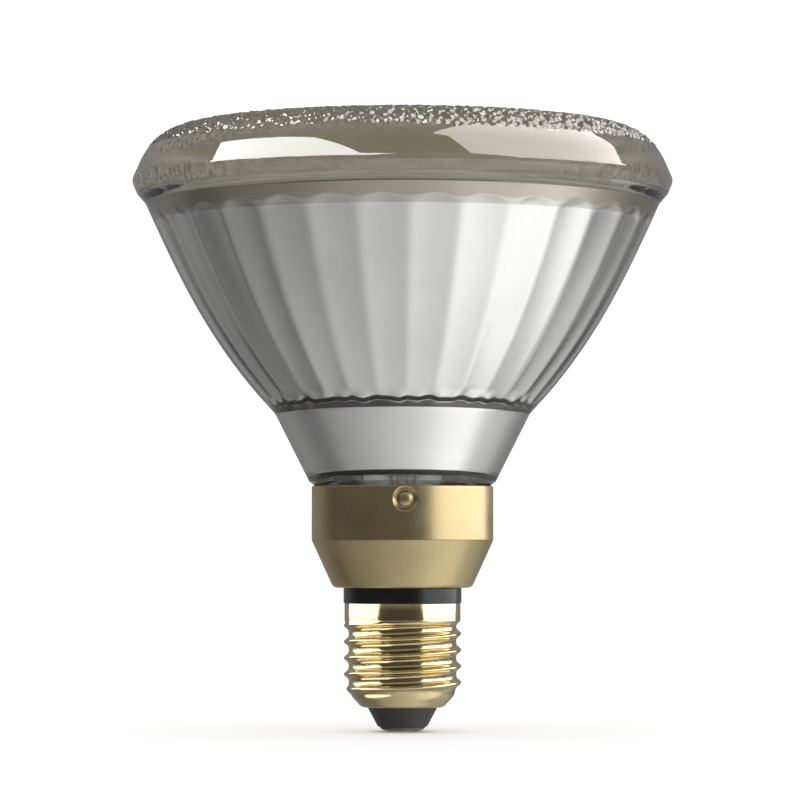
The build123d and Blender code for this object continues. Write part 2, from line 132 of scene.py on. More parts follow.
def new_piece(name, vertices, faces, materials, face_slots):
    """A smooth-shaded mesh object from points in millimetres, with a material number for each face."""
    mesh = bpy.data.meshes.new(name)
    mesh.from_pydata((np.asarray(vertices) * MM).tolist(), [], faces)
    for material in materials:
        mesh.materials.append(material)
    mesh.polygons.foreach_set("material_index", np.asarray(face_slots, np.int32))
    mesh.polygons.foreach_set("use_smooth", np.ones(len(mesh.polygons), bool))
    piece = bpy.data.objects.new(name, mesh)
    bpy.context.scene.collection.objects.link(piece)
    work = bmesh.new()
    work.from_mesh(mesh)
    bmesh.ops.remove_doubles(work, verts=work.verts, dist=WELD)
    bmesh.ops.recalc_face_normals(work, faces=work.faces)
    work.to_mesh(mesh)
    work.free()
    mesh.update()
    return piece


def bridge(first, second):
    """Faces between two rings of vertex numbers, one of which may have twice as many as the other."""
    if len(first) < len(second):
        return bridge(second, first)
    faces = []
    if len(first) == len(second):
        for step in range(len(first)):
            beside = (step + 1) % len(first)
            faces.append((first[step], first[beside], second[beside], second[step]))
        return faces
    for step in range(len(second)):
        here, middle = first[2 * step], first[2 * step + 1]
        beside = first[(2 * step + 2) % len(first)]
        low, high = second[step], second[(step + 1) % len(second)]
        faces += [(here, middle, low), (middle, high, low), (middle, beside, high)]
    return faces


def spun(name, rings, materials, ring_slots):
    """A closed piece spun round the axis. Each ring holds a radius and height at each angle, and
    each ring's slot is the material of the faces from it to the next ring."""
    vertices, numbers, total = [], [], 0
    for ring in rings:
        angle = angles(len(ring))
        radius, height = ring[:, 0], ring[:, 1]
        vertices.append(np.column_stack((radius * np.cos(angle), radius * np.sin(angle), height)))
        numbers.append(range(total, total + len(ring)))
        total += len(ring)
    faces, slots = [], []
    for index in range(len(rings)):
        between = bridge(numbers[index], numbers[(index + 1) % len(rings)])
        faces += between
        slots += [ring_slots[index]] * len(between)
    return new_piece(name, np.concatenate(vertices), faces, materials, slots)


def even(profile, segments):
    """The same profile at every angle."""
    return np.repeat(np.asarray(profile, float)[:, None, :], segments, axis=1)


def angles(segments):
    """The angle of each segment, from +X."""
    return np.arange(segments) * 2 * math.pi / segments


# Materials

# The values that the noise mostly stays between
NOISE_LOW, NOISE_HIGH = 0.3, 0.7
# The height in metres of a metal's grain and of the waves in glass
GRAIN_HEIGHT = 0.0002
WAVE_HEIGHT = 0.0004
GLASS_IOR = 1.474


def principled(name):
    """A new material and its Principled shader."""
    material = bpy.data.materials.new(name)
    material.use_nodes = True
    return material, material.node_tree.nodes["Principled BSDF"]


def add_node(material, kind, **inputs):
    """A node with its inputs set by name."""
    node = material.node_tree.nodes.new(kind)
    for name, value in inputs.items():
        node.inputs[name].default_value = value
    return node


def join(material, source, target):
    """A link between two sockets."""
    material.node_tree.links.new(source, target)


def object_noise(material, scale, detail):
    """Noise fixed to the piece, with its scale in cycles per metre."""
    coordinates = add_node(material, "ShaderNodeTexCoord")
    noise = add_node(material, "ShaderNodeTexNoise", Scale=scale, Detail=detail)
    join(material, coordinates.outputs["Object"], noise.inputs["Vector"])
    return noise.outputs["Fac"]


def spread(material, source, low, high):
    """A value between low and high, led by noise."""
    ramp = add_node(material, "ShaderNodeMapRange", **{
        "From Min": NOISE_LOW, "From Max": NOISE_HIGH, "To Min": low, "To Max": high})
    join(material, source, ramp.inputs["Value"])
    return ramp.outputs["Result"]


def two_tone(material, source, dark, light):
    """A colour between two tones, led by noise."""
    ramp = add_node(material, "ShaderNodeValToRGB")
    places = ((NOISE_LOW, dark), (NOISE_HIGH, light))
    for element, (place, tone) in zip(ramp.color_ramp.elements, places):
        element.position = place
        element.color = (*tone, 1)
    join(material, source, ramp.inputs["Fac"])
    return ramp.outputs["Color"]


def bump(material, shader, source, strength, distance):
    """A bump on the shader's normal."""
    node = add_node(material, "ShaderNodeBump", Strength=strength, Distance=distance)
    join(material, source, node.inputs["Height"])
    join(material, node.outputs["Normal"], shader.inputs["Normal"])


def metal(name, dark, light, rough, patch_scale, grain_scale, grain):
    """A metal with patches of tone and roughness and a fine grain."""
    material, shader = principled(name)
    shader.inputs["Metallic"].default_value = 1.0
    patches = object_noise(material, patch_scale, 4.0)
    fine = object_noise(material, grain_scale, 2.0)
    join(material, two_tone(material, patches, dark, light), shader.inputs["Base Color"])
    join(material, spread(material, patches, *rough), shader.inputs["Roughness"])
    bump(material, shader, fine, grain, GRAIN_HEIGHT)
    return material


def glass(name, dark, light, rough=0.0, wave_scale=60.0, wave=0.1, detail=2.0):
    """Clear glass with a change of tint and the waves of pressing."""
    material, shader = principled(name)
    shader.inputs["Transmission Weight"].default_value = 1.0
    shader.inputs["IOR"].default_value = GLASS_IOR
    shader.inputs["Roughness"].default_value = rough
    waves = object_noise(material, wave_scale, detail)
    join(material, two_tone(material, waves, dark, light), shader.inputs["Base Color"])
    bump(material, shader, waves, wave, WAVE_HEIGHT)
    return material


def gloss_insulator(name, dark, light, rough):
    """A dark moulded insulator with a thin glossy skin."""
    material, shader = principled(name)
    patches = object_noise(material, 220.0, 4.0)
    join(material, two_tone(material, patches, dark, light), shader.inputs["Base Color"])
    join(material, spread(material, patches, *rough), shader.inputs["Roughness"])
    shader.inputs["Coat Weight"].default_value = 0.1
    shader.inputs["Coat Roughness"].default_value = 0.08
    bump(material, shader, object_noise(material, 700.0, 3.0), 0.15, GRAIN_HEIGHT)
    return material


# Glass: the two tints, then any roughness. On the stipple, fine noise mottles the tint from dark to light,
# as painted light and shade of the pebbles bending the light
clear_glass = glass("clear_glass", (0.93, 0.94, 0.93), (0.97, 0.98, 0.97))
lens_glass = glass("lens_glass", (0.78, 0.73, 0.59), (0.85, 0.8, 0.66))
lens_inside = glass("lens_inside", (0.78, 0.73, 0.59), (0.85, 0.8, 0.66), 0.16)
# The stipple's dark-to-light mottle is painted light and shade
stipple_painted_mottle = glass("stipple_painted_mottle", (0.4, 0.37, 0.29), (1.0, 0.97, 0.84), 0.05, 820.0, 0.25, 1.5)
seam_glass = glass("seam_glass", (0.5, 0.46, 0.38), (0.6, 0.56, 0.47))
# The fused faces of lens and bowl lie on each other, so light isn't bent there
fused_joint = glass("fused_joint", (0.76, 0.74, 0.7), (0.82, 0.8, 0.76), wave=0.0)
fused_joint.node_tree.nodes["Principled BSDF"].inputs["IOR"].default_value = 1.0

# Metal: the two tones, the roughness, the patches' and the grain's scale, and the grain's strength.
# The mirror on the throat's steep wall is painted darker there, as a painted dark reflection
mirror = metal("mirror", (0.86, 0.86, 0.85), (0.92, 0.92, 0.91), (0.13, 0.18), 90.0, 900.0, 0.06)
throat_painted_dark_mirror = metal("throat_painted_dark_mirror", (0.44, 0.41, 0.36), (0.6, 0.57, 0.51), (0.16, 0.24), 90.0, 900.0, 0.06)
skirt_brass = metal("skirt_brass", (0.5, 0.4, 0.21), (0.56, 0.46, 0.26), (0.27, 0.33), 130.0, 2600.0, 0.12)
# The insides of the skirt and shell are a much darker, rougher brass
dark_inner_brass = metal("dark_inner_brass", (0.1, 0.075, 0.045), (0.17, 0.13, 0.08), (0.45, 0.6), 150.0, 1500.0, 0.4)
shell_brass = metal("shell_brass", (0.62, 0.5, 0.27), (0.7, 0.58, 0.33), (0.1, 0.17), 150.0, 900.0, 0.08)
# The centre contact is given dark grey tones, as painted shade on the underside of the cap
contact_metal = metal(
    "contact_metal", (0.13, 0.115, 0.09), (0.2, 0.18, 0.14), (0.3, 0.45), 300.0, 1800.0, 0.4)
solder_metal = metal("solder_metal", (0.5, 0.5, 0.5), (0.68, 0.68, 0.67), (0.28, 0.4), 500.0, 1500.0, 0.5)
steel = metal("steel", (0.55, 0.54, 0.52), (0.68, 0.67, 0.65), (0.25, 0.38), 300.0, 2500.0, 0.3)
tungsten = metal("tungsten", (0.3, 0.3, 0.32), (0.42, 0.42, 0.44), (0.35, 0.5), 600.0, 3000.0, 0.4)

ring_black = gloss_insulator("ring_black", (0.002, 0.002, 0.002), (0.005, 0.005, 0.005), (0.2, 0.3))
nose_black = gloss_insulator("nose_black", (0.008, 0.006, 0.005), (0.017, 0.012, 0.01), (0.35, 0.5))

# The reflector: clear glass outside, the mirror on its fluted inside
FLUTES = 30
FLUTE_START = math.radians(-88.5)
# A flute's depth as a share of the radius, and the level and the length of its fade at the top
FLUTE_DEPTH = 0.0062
FLUTE_TOP = 115.0
FLUTE_FADE = 2.2
FLUTE_ARCH = 2.0
# Where across a flute its ridge starts to be rounded off
RIDGE_START = 0.84
# The throat is the step from the well behind the bowl out to the fluted face
THROAT_FOOT = (25.8, 72.6)
THROAT_TOP = (26.36, 74.4)
THROAT_ROWS = 8
# The throat's top edge: how far it dips with the flutes, and two uneven waves (height, count, turn)
EDGE_DIP = 0.3
EDGE_WAVES = ((0.16, 19, 0.0), (0.12, 43, 1.0))
# The way through the wall at the bowl's foot and top, in walls
FOOT_THROUGH = np.array((-0.7247, 0.689))
TOP_THROUGH = np.array((-0.91, 0.415))
# The shares of the bowl's height with rows on the inside: from the throat, to the fine rows, to the rim
INNER_START, INNER_FINE = 0.032, 0.84
# The hollow collar's foot and inner radius, and the radius at which its floor closes in
COLLAR_FOOT = 45.3
COLLAR_BORE = 17.0
FLOOR_MIDDLE = 4.0
REFLECTOR_SEGMENTS = 360
# The reflector's materials
OUTSIDE, FILM, JOINT, RIM, THROAT = range(5)


def flute_dip(angle):
    """0 on a ridge between flutes and 1 in the middle of a flute, with soft ridges."""
    turn = (angle - FLUTE_START) * FLUTES / (2 * math.pi)
    across = np.abs((turn % 1.0) * 2 - 1)
    round_off = (across - RIDGE_START) ** 2 / (2 * (1 - RIDGE_START))
    soft = np.where(across > RIDGE_START, across - round_off, across)
    return 1 - (soft / ((1 + RIDGE_START) / 2)) ** 2


def make_reflector():
    """The pressed glass reflector as one closed wall, with the mirror film on its inside."""
    outer_foot = np.array((LEDGE_RADIUS, LEDGE))
    outer_top = np.array((BOWL_TOP_RADIUS, BOWL_TOP))
    outer = bowl_curve(outer_foot, outer_top, np.linspace(0, 1, 34))
    inner_foot = outer_foot + GLASS_WALL * FOOT_THROUGH
    inner_top = outer_top + GLASS_WALL * TOP_THROUGH
    share = np.concatenate((
        np.linspace(INNER_START, INNER_FINE, 50),
        np.linspace(INNER_FINE, 1, 30)[1:],
    ))
    inner = bowl_curve(inner_foot, inner_top, share)
    rim = rounded([
        (SEAT_RADIUS, SEAM, 0),
        (SEAM_RADIUS, SEAM, 0),
        (*outer_top, 1.2),
        (*outer[-3], 0),
    ])[1:-1]
    foot = rounded([
        (*outer[2], 0),
        (*outer_foot, 1.0),
        (NECK_RADIUS, SKIRT_TOP + 1.0, 0.8),
        (COLLAR_RADIUS, SKIRT_TOP, 0.4),
        (COLLAR_RADIUS, COLLAR_FOOT, 0.8),
        (COLLAR_BORE, COLLAR_FOOT, 0.8),
        (COLLAR_BORE, SKIRT_TOP, 0.6),
        (FLOOR_MIDDLE, SKIRT_TOP, 0),
    ])[1:]
    middle = np.array([(0.0, SKIRT_TOP), (0.0, FLOOR), (FLOOR_MIDDLE, FLOOR)])
    well = rounded([
        (8.0, FLOOR, 0),
        (NECK_RADIUS - GLASS_WALL, FLOOR, 2.5),
        (*THROAT_FOOT, 0.4),
        (*THROAT_TOP, 0),
    ])
    throat = np.linspace(well[-2], THROAT_TOP, THROAT_ROWS)[1:]
    seat = np.array([(SEAT_RADIUS, SEAM)])
    profile = np.concatenate((rim, outer[::-1][3:-3], foot, middle, well[:-1], throat, inner, seat))
    rows = even(profile, REFLECTOR_SEGMENTS)
    angle = angles(REFLECTOR_SEGMENTS)
    dip = flute_dip(angle)
    first_inner = len(profile) - len(inner) - 1
    first_throat = first_inner - len(throat)
    first_film = first_throat - len(well) + 1
    for row in range(first_inner, len(profile) - 1):
        fade = smooth_step(0.0, 1.0, (FLUTE_TOP + FLUTE_ARCH * dip - profile[row, 1]) / FLUTE_FADE)
        rows[row, :, 0] *= 1 - FLUTE_DEPTH * dip * fade
    ripple = EDGE_DIP * dip
    for height, count, turn in EDGE_WAVES:
        ripple = ripple + height * np.sin(count * angle + turn)
    for row in range(first_throat, first_inner + 2):
        climb = (profile[row, 1] - THROAT_FOOT[1]) / (THROAT_TOP[1] - THROAT_FOOT[1])
        rows[row, :, 1] -= ripple * min(climb, 1.0) ** 4
    slots = [FILM if first_film <= row < len(profile) - 2 else OUTSIDE for row in range(len(profile))]
    slots[1:len(rim)] = [RIM] * (len(rim) - 1)
    # The throat's rows take the darker mirror, a painted dark reflection
    slots[first_throat - 1:first_inner] = [THROAT] * (len(throat) + 1)
    slots[-1] = JOINT
    materials = [clear_glass, mirror, fused_joint, seam_glass, throat_painted_dark_mirror]
    return spun("reflector_glass", rows, materials, slots)


# The holes through the floor: for the ferrules and for the exhaust tube
FERRULE_HOLE = 2.6
EXHAUST_HOLE = 2.4
HOLE_FOOT, HOLE_TOP = 50.0, 60.0


def cut(piece, places, radius):
    """Cuts upright round holes through the reflector's floor."""
    for x in places:
        bpy.ops.mesh.primitive_cylinder_add(
            vertices=48, radius=radius * MM, depth=(HOLE_TOP - HOLE_FOOT) * MM,
            location=(x * MM, 0, (HOLE_TOP + HOLE_FOOT) / 2 * MM))
        tool = bpy.context.object
        change = piece.modifiers.new("cut", "BOOLEAN")
        change.operation = "DIFFERENCE"
        change.object = tool
        change.solver = "EXACT"
        bpy.context.view_layer.objects.active = piece
        bpy.ops.object.modifier_apply(modifier=change.name)
        bpy.data.objects.remove(tool)


reflector = make_reflector()
cut(reflector, [-POST_X, POST_X], FERRULE_HOLE)
cut(reflector, [0], EXHAUST_HOLE)

# The lens: a smooth leaning wall and shoulder round a stippled dome
LEAN_FOOT = np.array((60.15, SEAM + 4.1))
LEAN = math.radians(24.6)
DOME_RISE = 3.2
SHOULDER = 13.0
WIDEST = (60.62, SEAM + 2.7)
STIPPLE_RADIUS = 57.2
STIPPLE_PITCH = 2.0
# How far the stipple's crests stand out, and where from the middle that sets in and is full
STIPPLE_PROUD = 0.3
PROUD_START, PROUD_FULL = 20.0, 42.0
STIPPLE_EDGE = 0.9
# A pebble's curve, how low it may lie, and how far it may be shifted as a share of the pitch
PEBBLE_CURVE = 0.5
PEBBLE_LOW = 0.14
PEBBLE_SHIFT = 0.26
PEBBLE_SEED = 38
# The pebble grid's half size: its rows lie closer than the pitch, and a few more are for neighbours
GRID_SHARE, GRID_MARGIN = 1.2, 4
# The segments of the coarsest rings, and how many times more there are beyond each distance
COARSE_SEGMENTS = 135
FINE_DISTANCE, MIDDLE_DISTANCE, COARSE_DISTANCE = 46, 23, 11
SEGMENT_STEPS = ((FINE_DISTANCE, 8), (MIDDLE_DISTANCE, 4), (COARSE_DISTANCE, 2))
# The lens's materials
WALL, INSIDE, FUSED, STIPPLE = range(4)


def lens_meridian():
    """The outside from the lean up, as rows of (r, z, slope, distance), and the stipple's reach."""
    up = np.array((-math.sin(LEAN), math.cos(LEAN)))
    inward = np.array((-math.cos(LEAN), -math.sin(LEAN)))
    dome_foot = LENS_TOP - DOME_RISE
    dome_radius = LEAN_FOOT[0] - math.tan(LEAN) * (dome_foot - LEAN_FOOT[1])
    ball = (dome_radius**2 + DOME_RISE**2) / (2 * DOME_RISE)
    ball_centre = np.array((0, LENS_TOP - ball))
    start = LEAN_FOOT + SHOULDER * inward
    offset = start - ball_centre
    along = offset @ up
    reach = math.sqrt(along**2 - offset @ offset + (ball - SHOULDER) ** 2) - along
    centre = start + reach * up
    meet = math.atan2(centre[0], centre[1] - ball_centre[1])
    edge = math.asin((STIPPLE_RADIUS - centre[0]) / SHOULDER)
    slopes = np.concatenate((
        np.linspace(math.pi / 2 - LEAN, edge, 6)[:-1],
        np.linspace(edge, meet, 36)[:-1],
    ))
    shoulder = centre + SHOULDER * np.stack((np.sin(slopes), np.cos(slopes)), axis=1)
    inner = np.concatenate((
        np.linspace(ball * meet, FINE_DISTANCE, 8),
        np.linspace(FINE_DISTANCE, MIDDLE_DISTANCE, 46)[1:],
        np.linspace(MIDDLE_DISTANCE, 0, 42)[1:],
    ))
    turns = inner / ball
    dome = ball_centre + ball * np.stack((np.sin(turns), np.cos(turns)), axis=1)
    slope = np.concatenate((slopes, turns))
    distance = np.concatenate((ball * meet + SHOULDER * (slopes - meet), inner))
    place = np.concatenate((shoulder, dome))
    return np.column_stack((place, slope, distance)), ball * meet + SHOULDER * (edge - meet)


def ring_segments(index, distance):
    """More segments where the stipple faces outward, and fewer towards the middle. The first two
    rings lead up to them from the smooth wall."""
    if index < 2:
        return COARSE_SEGMENTS * 2 * (index + 1)
    for limit, count in SEGMENT_STEPS:
        if distance > limit:
            return COARSE_SEGMENTS * count
    return COARSE_SEGMENTS


def pebble_depth(x, y, reach):
    """How far the pebbled face lies below its highest crests at each point."""
    chance = np.random.default_rng(PEBBLE_SEED)
    middle = int(reach / STIPPLE_PITCH * GRID_SHARE) + GRID_MARGIN
    shifts = chance.uniform(-PEBBLE_SHIFT, PEBBLE_SHIFT, (2 * middle, 2 * middle, 2)) * STIPPLE_PITCH
    lows = chance.uniform(0.0, PEBBLE_LOW, (2 * middle, 2 * middle))
    row_pitch = STIPPLE_PITCH * math.sqrt(3) / 2
    depth = np.full(np.shape(x), np.inf)
    for row_step in (-1, 0, 1):
        row = np.round(y / row_pitch).astype(int) + row_step
        indent = 0.5 * (row % 2)
        for column_step in (-1, 0, 1):
            column = np.round(x / STIPPLE_PITCH - indent).astype(int) + column_step
            shift = shifts[row + middle, column + middle]
            across = (column + indent) * STIPPLE_PITCH + shift[..., 0] - x
            along = row * row_pitch + shift[..., 1] - y
            pebble = PEBBLE_CURVE * (across**2 + along**2) + lows[row + middle, column + middle]
            depth = np.minimum(depth, pebble)
    return depth


def make_lens():
    """The lens, one closed wall, its stipple pressed in from the outside."""
    bulge = rounded([(SEAM_RADIUS, SEAM, 0), (*WIDEST, 4.5), (*LEAN_FOOT, 0)], 8)
    meridian, reach = lens_meridian()
    inside = rounded([
        (0, LENS_TOP - 4.4, 0),
        (30.0, LENS_TOP - 5.4, 60.0),
        (50.86, LENS_TOP - 7.6, 8.0),
        (SEAT_RADIUS, SEAM, 0),
    ], 8)
    rings = [even([point], 2 * COARSE_SEGMENTS)[0] for point in bulge[:-1]]
    for index, (radius, height, slope, distance) in enumerate(meridian):
        segments = ring_segments(index, distance)
        angle = angles(segments)
        depth = pebble_depth(distance * np.cos(angle), distance * np.sin(angle), reach)
        proud = STIPPLE_PROUD * smooth_step(PROUD_START, PROUD_FULL, distance) - depth
        proud = proud * smooth_step(0.0, STIPPLE_EDGE, reach - distance)
        ring = np.stack((radius + proud * math.sin(slope), height + proud * math.cos(slope)), axis=1)
        rings.append(ring)
    rings.append(even([inside[0]], COARSE_SEGMENTS)[0])
    rings += [even([point], 2 * COARSE_SEGMENTS)[0] for point in inside[1:]]
    smooth_rings = len(bulge) - 1 + int(np.sum(meridian[:, 3] > reach))
    slots = [WALL] * smooth_rings + [STIPPLE] * (len(rings) - len(inside) - smooth_rings)
    slots += [INSIDE] * (len(inside) - 1) + [FUSED]
    return spun("lens_glass", rings, [lens_glass, lens_inside, fused_joint, stipple_painted_mottle], slots)


lens = make_lens()

# The skirt: a satin sheet barrel and cone, with three crimps near its top edge
CRIMPS = 3
CRIMP_START = math.radians(-88.4)
CRIMP_LEVEL = 51.8
# A crimp's dent: its depth, and where it starts to rise and ends. The button in it: height and radius
DENT = 0.8
DENT_FLAT, DENT_RADIUS = 1.9, 2.85
BUTTON = 0.62
BUTTON_RADIUS = 1.75
SKIRT_MOUTH = 11.8
SKIRT_SHEET = 0.5
SKIRT_SEGMENTS = 480
BARREL_ROWS = 64


def crimp_depth(angle, height, radius):
    """How far a crimp presses the sheet in at a point, with the punch's button in its middle."""
    depth = np.zeros(np.broadcast(angle, height).shape)
    for number in range(CRIMPS):
        turn = angle - CRIMP_START - number * 2 * math.pi / CRIMPS
        turn = (turn + math.pi) % (2 * math.pi) - math.pi
        away = np.hypot(turn * radius, height - CRIMP_LEVEL)
        dent = DENT * (1 - smooth_step(DENT_FLAT, DENT_RADIUS, away))
        button = BUTTON * np.sqrt(np.clip(1 - (away / BUTTON_RADIUS) ** 2, 0, 1))
        depth = depth + dent - button
    return depth


def make_skirt():
    """The skirt as thin sheet, with rounded edges."""
    outside = rounded([
        (SKIRT_MOUTH, SKIRT_FOOT, 0),
        (15.5, SKIRT_FOOT, 1.3),
        (SKIRT_RADIUS, SKIRT_BREAK, 0.9),
        (SKIRT_RADIUS, SKIRT_TOP, 0),
    ], 6)
    barrel = np.linspace(SKIRT_BREAK + 0.7, SKIRT_TOP - 0.2, BARREL_ROWS)
    barrel = np.stack((np.full(BARREL_ROWS, SKIRT_RADIUS), barrel), axis=1)
    outside = np.concatenate((outside[:-1], barrel))
    lip = np.array([(SKIRT_RADIUS - 0.12, SKIRT_TOP), (SKIRT_RADIUS - 0.38, SKIRT_TOP)])
    inside = outside[::-1].copy()
    inside[:, 0] -= SKIRT_SHEET
    low = inside[:, 1] < SKIRT_FOOT + 1.4
    inside[low, 1] = np.maximum(inside[low, 1], SKIRT_FOOT + SKIRT_SHEET)
    inside[:, 0] = np.maximum(inside[:, 0], SKIRT_MOUTH)
    profile = np.concatenate((outside, lip, inside))
    rows = even(profile, SKIRT_SEGMENTS)
    angle = angles(SKIRT_SEGMENTS)[None, :]
    press = crimp_depth(angle, rows[:, :, 1], SKIRT_RADIUS)
    rows[:, :, 0] -= press * (rows[:, :, 1] > SKIRT_BREAK + 1)
    slots = [1 if row > len(outside) + 1 else 0 for row in range(len(profile))]
    return spun("skirt_sheet", rows, [skirt_brass, dark_inner_brass], slots)


skirt = make_skirt()

# The screw shell: thin sheet with a right-hand rolled thread
THREAD_RADIUS = 13.15
ROOT_RADIUS = 12.05
BAND_RADIUS = 12.98
PITCH = 3.629
THREAD_START = 10.98
CREST_SHARPNESS = 2.1
# The levels at which the thread sets in and is full, and how far below the band it starts to end
THREAD_LOW, THREAD_FULL = 7.4, 10.4
THREAD_END = 1.6
SHELL_MOUTH = 7.8
SHELL_SHEET = 0.35
SHELL_SEGMENTS = 256
WALL_ROWS = 116
TURNED_SEGMENTS = 128


def make_shell():
    """The shell as thin sheet, its thread fading out at the knee and running into the band."""
    knee = rounded([
        (SHELL_MOUTH, SHELL_FOOT, 0),
        (9.2, SHELL_FOOT + 0.08, 1.6),
        (ROOT_RADIUS - 0.55, SHELL_FOOT + 2.6, 3.6),
        (ROOT_RADIUS, KNEE, 2.5),
        (ROOT_RADIUS, KNEE + 1.0, 0),
    ], 7)[:-1]
    wall = np.linspace(KNEE + 0.9, BAND_FOOT - 0.9, WALL_ROWS)
    wall = np.stack((np.full(WALL_ROWS, ROOT_RADIUS), wall), axis=1)
    band = rounded([
        (ROOT_RADIUS, BAND_FOOT - 0.9, 0),
        (BAND_RADIUS - 0.05, BAND_FOOT - 0.1, 0.6),
        (BAND_RADIUS, SHELL_TOP - 0.12, 0),
    ], 6)[1:]
    outside = np.concatenate((knee, wall, band))
    rows = even(outside, SHELL_SEGMENTS)
    angle = angles(SHELL_SEGMENTS)[None, :]
    height = rows[:, :, 1]
    wave = 0.5 + 0.5 * np.cos(2 * math.pi * (height - THREAD_START) / PITCH - angle)
    wave = wave**CREST_SHARPNESS
    fade_in = smooth_step(THREAD_LOW, THREAD_FULL, height)
    threaded = rows[:, :, 0] + (THREAD_RADIUS - ROOT_RADIUS) * wave * fade_in
    near_band = smooth_step(BAND_FOOT - THREAD_END, BAND_FOOT, height)
    rows[:, :, 0] = threaded * (1 - near_band) + np.maximum(rows[:, :, 0], BAND_RADIUS) * near_band
    edge = even([(BAND_RADIUS - 0.05, SHELL_TOP), (BAND_RADIUS - 0.3, SHELL_TOP)], SHELL_SEGMENTS)
    inside = rows[::-1].copy()
    inside[:, :, 0] = np.maximum(inside[:, :, 0] - SHELL_SHEET, SHELL_MOUTH)
    inside[:, :, 1] = np.maximum(inside[:, :, 1], SHELL_FOOT + SHELL_SHEET)
    rings = np.concatenate((rows, edge, inside))
    slots = [1 if row > len(outside) + 1 else 0 for row in range(len(rings))]
    return spun("screw_shell_sheet", rings, [shell_brass, dark_inner_brass], slots)


shell = make_shell()


def make_turned(name, corners, material):
    """A piece turned from an outline with rounded corners, as (radius, height, rounding)."""
    rings = even(rounded(corners), TURNED_SEGMENTS)
    return spun(name, rings, [material], [0] * len(rings))


ring = make_turned("ring_body", [
    (6.2, 25.4, 0), (12.58, 25.4, 0), (12.58, SHELL_TOP, 0), (13.2, SHELL_TOP, 0.15),
    (13.2, SKIRT_FOOT, 0.15), (11.75, SKIRT_FOOT, 0), (11.75, 32.6, 0), (14.1, 32.6, 0.3),
    (14.1, 34.8, 0.6), (6.2, 34.8, 0)], ring_black)
nose = make_turned("nose_body", [
    (0.85, KNEE, 0), (11.7, KNEE, 0.1), (11.15, 7.9, 2.0), (7.8, 5.75, 0.2), (7.8, SHELL_FOOT, 0.1),
    (5.5, NOSE, 0.5), (0.85, NOSE, 0)], nose_black)
contact = make_turned("contact_disc", [
    (0.5, 4.1, 0), (0.85, 4.1, 0.1), (0.85, NOSE, 0), (5.2, NOSE, 0.12), (4.7, 0.5, 0.8),
    (3.9, 0.25, 0.4), (0.5, 0.25, 0)], contact_metal)

# Which piece stands for which node
for piece, node in (
    (reflector, "reflector"),
    (lens, "lens"),
    (skirt, "cap_skirt"),
    (shell, "screw_shell"),
    (ring, "insulating_ring"),
    (nose, "contact_insulator"),
    (contact, "centre_contact"),
):
    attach(piece, "root")
    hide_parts(node)

# The nodes that keep their frame meshes
NODE_MATERIALS = {
    "contact_solder": solder_metal,
    "shell_solder": solder_metal,
    "ferrule_left": steel,
    "ferrule_right": steel,
    "lead_post_left": steel,
    "lead_post_right": steel,
    "filament": tungsten,
    "hook_left": tungsten,
    "hook_middle": tungsten,
    "hook_right": tungsten,
    "support_bead": clear_glass,
    "exhaust_tube": clear_glass,
    "fuse": clear_glass,
    "contact_wire": steel,
    "shell_wire": steel,
}
for node, material in NODE_MATERIALS.items():
    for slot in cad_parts[node].material_slots:
        slot.material = material


# The stage: a pale floor, and a plain studio. The floor's reach is in metres
FLOOR_REACH = 6.0


def make_floor():
    """A pale floor under the tip of the cap."""
    corners = [(x * FLOOR_REACH, y * FLOOR_REACH, 0) for x, y in ((-1, -1), (1, -1), (1, 1), (-1, 1))]
    mesh = bpy.data.meshes.new("floor")
    mesh.from_pydata(corners, [], [(0, 1, 2, 3)])
    floor = bpy.data.objects.new("floor", mesh)
    bpy.context.scene.collection.objects.link(floor)
    material, shader = principled("floor_paper")
    shader.inputs["Base Color"].default_value = (0.95, 0.95, 0.95, 1)
    shader.inputs["Roughness"].default_value = 0.9
    mesh.materials.append(material)
    floor.visible_glossy = False
    floor.visible_transmission = False
    floor.visible_shadow = False


make_floor()

# What the lights point at
LIGHT_AIM = Vector((0, 0, 0.08))


def soft_box(name, azimuth, elevation, distance, width, height, radiance, lit, colour=(1, 1, 1)):
    """A rectangular light for the listed pieces, in degrees and metres. Azimuth runs from the front
    to the right."""
    light = bpy.data.lights.new(name, "AREA")
    light.shape = "RECTANGLE"
    light.size = width
    light.size_y = height
    light.energy = radiance * math.pi * width * height
    light.color = colour
    lamp = bpy.data.objects.new(name, light)
    bpy.context.scene.collection.objects.link(lamp)
    turn, rise = math.radians(azimuth), math.radians(elevation)
    ray = Vector((math.sin(turn) * math.cos(rise), -math.cos(turn) * math.cos(rise), math.sin(rise)))
    lamp.location = LIGHT_AIM + ray * distance
    lamp.rotation_euler = (-ray).to_track_quat("-Z", "Y").to_euler()
    lamp.visible_camera = False
    lamp.visible_transmission = False
    receivers = bpy.data.collections.new(name + "_lights")
    for piece in lit:
        receivers.objects.link(piece)
    lamp.light_linking.receiver_collection = receivers


soft_box("lens_left", -51, 38, 0.9, 1.3, 0.4, 17.0, [lens])
soft_box("lens_right", 79, 45, 0.9, 1.06, 1.0, 9.0, [lens], (1, 0.94, 0.93))
soft_box("skirt_right", 84, 12, 0.6, 1.26, 0.4, 2.4, [skirt, ring, nose])
soft_box("shell_right", 86, 12, 0.6, 1.16, 0.4, 3.2, [shell])
soft_box("shell_left", -90, 12, 0.6, 1.04, 0.4, 3.0, [shell])
soft_box("shell_low", -64, -38, 0.6, 0.8, 0.4, 1.6, [shell])

# What shows in or through the lamp. The low part: (place across from -1 to 1, brightness)
LOW_TONES = [
    (-1.0, 0.18), (-0.8, 0.28), (-0.57, 0.4), (-0.3, 0.5),
    (0.0, 0.62), (0.3, 0.76), (0.6, 1.06), (0.8, 1.2),
]
# The low part's share that is left behind the lamp
BEHIND_LOW = 0.52
# The middle part: in front, at the right side and behind
MIDDLE_TONE = 0.07
MIDDLE_SIDE = 0.22
MIDDLE_BEHIND = 0.26
HIGH_TONE = 0.34
